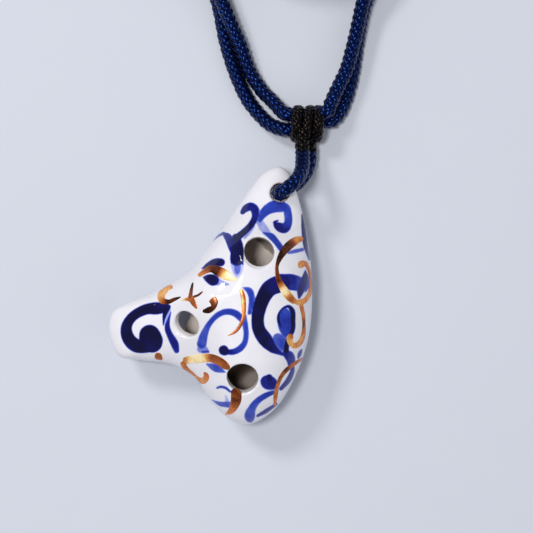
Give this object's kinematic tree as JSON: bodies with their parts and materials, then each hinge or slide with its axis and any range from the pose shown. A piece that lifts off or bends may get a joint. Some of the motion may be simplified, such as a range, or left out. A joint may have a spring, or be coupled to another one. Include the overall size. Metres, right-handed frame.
{
  "type": "pendant ocarina",
  "caption": "Small hollow glazed porcelain vessel flute with a side mouthpiece, finger holes and a pierced lug, on a doubled braided neck cord.",
  "frame": {"origin": "on the surface the flute rests on, under the middle of its outline", "axes": "+Z out of the front with the finger holes, +Y from the round bottom to the hanging lug, +X to the right of the front, away from the mouthpiece"},
  "size_m": [0.078, 0.1776, 0.0286],
  "materials": {
    "glaze": "white glossy glaze, cobalt scrolls under it and gilt strokes on it",
    "cobalt": "cobalt blue brushwork under the glaze",
    "gilt": "fired gold line, bright",
    "braid": "round braid of navy thread with a sheen",
    "tie": "soft flat band"
  },
  "bodies": {
    "ocarina": {"front_shell": "glaze", "back_shell": "glaze", "mouthpiece": "glaze"},
    "neck_cord": {"connector_loop": "braid", "wrap_knot": "braid", "neck_cord_left_outer": "braid", "neck_cord_left_inner": "braid", "neck_cord_right_outer": "braid", "neck_cord_right_inner": "braid", "coil_lower": "braid", "coil_upper": "braid", "coil_tie": "tie"}
  },
  "joints": [
    {"name": "pendant_swing", "type": "hinge", "parent": "ocarina", "child": "neck_cord", "pos_m": [0.01854, 0.02728, 0.0121], "axis": [0, 0, 1], "range_deg": [-60, 60]}
  ]
}
